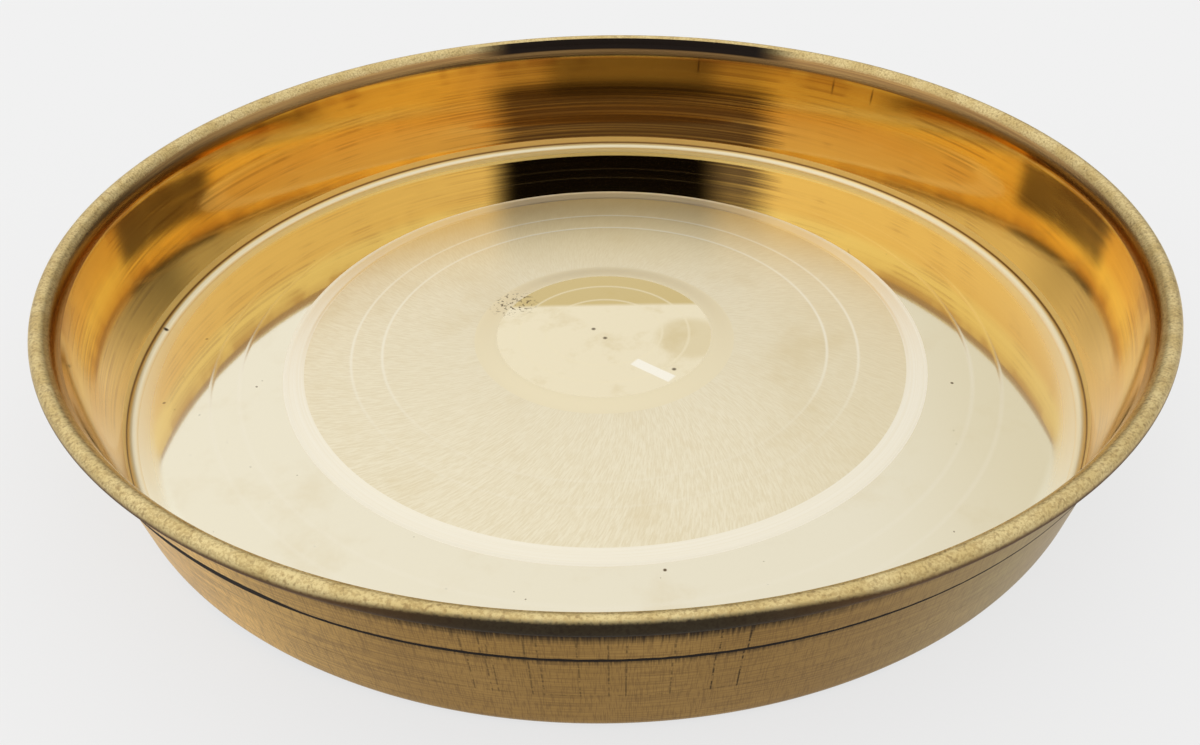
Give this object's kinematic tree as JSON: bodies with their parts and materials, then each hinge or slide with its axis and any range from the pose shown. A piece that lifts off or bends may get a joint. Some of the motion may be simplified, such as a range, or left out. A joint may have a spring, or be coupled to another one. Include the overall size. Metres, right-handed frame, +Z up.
{
  "type": "thali plate",
  "caption": "Round flat-bottomed brass plate with a flared wall, a wired rolled rim folded down as a hem outside, and turned rings on its floor; holds and serves food.",
  "frame": {"origin": "centre of the flat underside, on the surface that the plate stands on", "axes": "+Z up along the axis of the plate, from the underside to the rim; X and Y are free because the plate is round"},
  "size_m": [0.28, 0.28, 0.0415],
  "materials": {
    "brass_sheet": "polished inside, satin outside",
    "brass_wire": "drawn"
  },
  "bodies": {
    "root": {"dish": "brass_sheet", "rim_wire": "brass_wire"}
  },
  "joints": []
}
